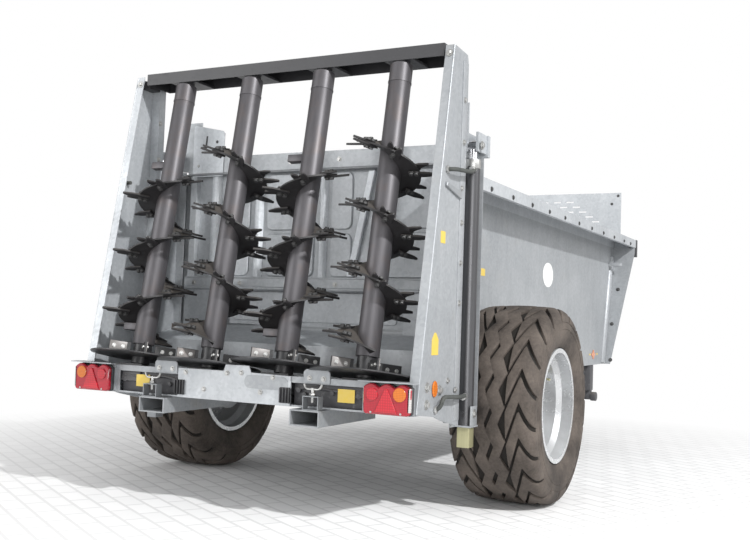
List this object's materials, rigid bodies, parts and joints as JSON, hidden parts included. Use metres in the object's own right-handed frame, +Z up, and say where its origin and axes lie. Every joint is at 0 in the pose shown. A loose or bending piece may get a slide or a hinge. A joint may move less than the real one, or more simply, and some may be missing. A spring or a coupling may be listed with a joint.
{
  "type": "manure spreader",
  "caption": "Towed manure spreader with a tapered hull, a push wall, upright spiral beaters over throwing discs, a lifting rear gate and a ring hitch.",
  "frame": {"origin": "on the ground, under the centre of the whole machine's box", "axes": "+X to the machine's right, +Y forward towards the hitch, +Z up"},
  "size_m": [2.4668, 6.2632, 2.205],
  "materials": {
    "galvanised": "hot-dip galvanised, matte",
    "dark_paint": "satin paint",
    "beater_steel": "worn bare steel",
    "disc_steel": "satin dark paint",
    "cast_hub": "painted casting",
    "rim_paint": "silver paint",
    "tyre_rubber": "dusty rubber",
    "cylinder_dark": "satin paint",
    "chrome_rod": "hard chrome",
    "machined_steel": "oiled",
    "lamp_plastic": "clear red and amber lenses"
  },
  "bodies": {
    "chassis": {"axle": "galvanised", "centre_panel": "galvanised", "coamings": "galvanised", "cross_bearers": "galvanised", "discharge_chute": "galvanised", "drawbar_legs": "galvanised", "drawbar_ties": "galvanised", "front_guard": "galvanised", "front_posts": "galvanised", "gate_guides": "galvanised", "gear_housings": "dark_paint", "hitch_eye": "dark_paint", "hull_floor": "galvanised", "jack_sleeve": "galvanised", "lift_barrels": "cylinder_dark", "main_rails": "galvanised", "ram_barrel": "cylinder_dark", "ram_stand": "galvanised", "rear_crossmember": "galvanised", "rear_lamps": "lamp_plastic", "shaft_hangers": "galvanised", "side_plate_left": "galvanised", "side_plate_right": "galvanised", "side_wall_left": "galvanised", "side_wall_right": "galvanised", "support_tubes": "galvanised", "top_crossbeam": "dark_paint", "upper_bearings": "dark_paint"},
    "wheel_left": {"tyre_left": "tyre_rubber", "rim_left": "rim_paint", "hub_left": "cast_hub"},
    "wheel_right": {"tyre_right": "tyre_rubber", "rim_right": "rim_paint", "hub_right": "cast_hub"},
    "beater_unit_1": {"beater_1": "beater_steel", "beater_disc_1": "disc_steel"},
    "beater_unit_2": {"beater_2": "beater_steel", "beater_disc_2": "disc_steel"},
    "beater_unit_3": {"beater_3": "beater_steel", "beater_disc_3": "disc_steel"},
    "beater_unit_4": {"beater_4": "beater_steel", "beater_disc_4": "disc_steel"},
    "drive_shaft": {"driveline": "machined_steel"},
    "push_wall_unit": {"push_wall": "galvanised", "ram_stage_3": "chrome_rod"},
    "ram_tube_1": {"ram_stage_1": "chrome_rod"},
    "ram_tube_2": {"ram_stage_2": "chrome_rod"},
    "gate_unit": {"gate": "galvanised", "lift_rods": "chrome_rod"},
    "jack_inner": {"jack_leg": "galvanised"}
  },
  "joints": [
    {"name": "wheel_left_spin", "type": "hinge", "parent": "chassis", "child": "wheel_left", "pos_m": [-1.0085, -1.81837, 0.51], "axis": [1, 0, 0], "continuous": true},
    {"name": "wheel_right_spin", "type": "hinge", "parent": "chassis", "child": "wheel_right", "pos_m": [1.0085, -1.81837, 0.51], "axis": [1, 0, 0], "continuous": true},
    {"name": "beater_1_spin", "type": "hinge", "parent": "chassis", "child": "beater_unit_1", "pos_m": [-0.6375, -2.87037, 0.753], "axis": [0, 0.1812, 0.9834], "continuous": true},
    {"name": "beater_2_spin", "type": "hinge", "parent": "chassis", "child": "beater_unit_2", "pos_m": [-0.2125, -2.87037, 0.753], "axis": [0, 0.1812, 0.9834], "continuous": true},
    {"name": "beater_3_spin", "type": "hinge", "parent": "chassis", "child": "beater_unit_3", "pos_m": [0.2125, -2.87037, 0.753], "axis": [0, 0.1812, 0.9834], "continuous": true},
    {"name": "beater_4_spin", "type": "hinge", "parent": "chassis", "child": "beater_unit_4", "pos_m": [0.6375, -2.87037, 0.753], "axis": [0, 0.1812, 0.9834], "continuous": true},
    {"name": "drive_shaft_spin", "type": "hinge", "parent": "chassis", "child": "drive_shaft", "pos_m": [0, -1.81837, 0.6], "axis": [0, 1, 0], "continuous": true},
    {"name": "push_wall_slide", "type": "slide", "parent": "chassis", "child": "push_wall_unit", "axis": [0, -1, 0], "range_m": [0, 2.95]},
    {"name": "ram_tube_1_slide", "type": "slide", "parent": "chassis", "child": "ram_tube_1", "axis": [0, -1, 0], "range_m": [0, 0.984]},
    {"name": "ram_tube_2_slide", "type": "slide", "parent": "chassis", "child": "ram_tube_2", "axis": [0, -1, 0], "range_m": [0, 1.967]},
    {"name": "gate_slide", "type": "slide", "parent": "chassis", "child": "gate_unit", "axis": [0, 0, 1], "range_m": [0, 0.75]},
    {"name": "jack_slide", "type": "slide", "parent": "chassis", "child": "jack_inner", "axis": [0, 0, 1], "range_m": [0, 0.33]}
  ],
  "couplings": [
    {"joint": "beater_2_spin", "follows": "beater_1_spin", "ratio": -1},
    {"joint": "beater_3_spin", "follows": "beater_1_spin", "ratio": 1},
    {"joint": "beater_4_spin", "follows": "beater_1_spin", "ratio": -1},
    {"joint": "drive_shaft_spin", "follows": "beater_1_spin", "ratio": 2.4},
    {"joint": "ram_tube_1_slide", "follows": "push_wall_slide", "ratio": 0.33333},
    {"joint": "ram_tube_2_slide", "follows": "push_wall_slide", "ratio": 0.66667}
  ]
}
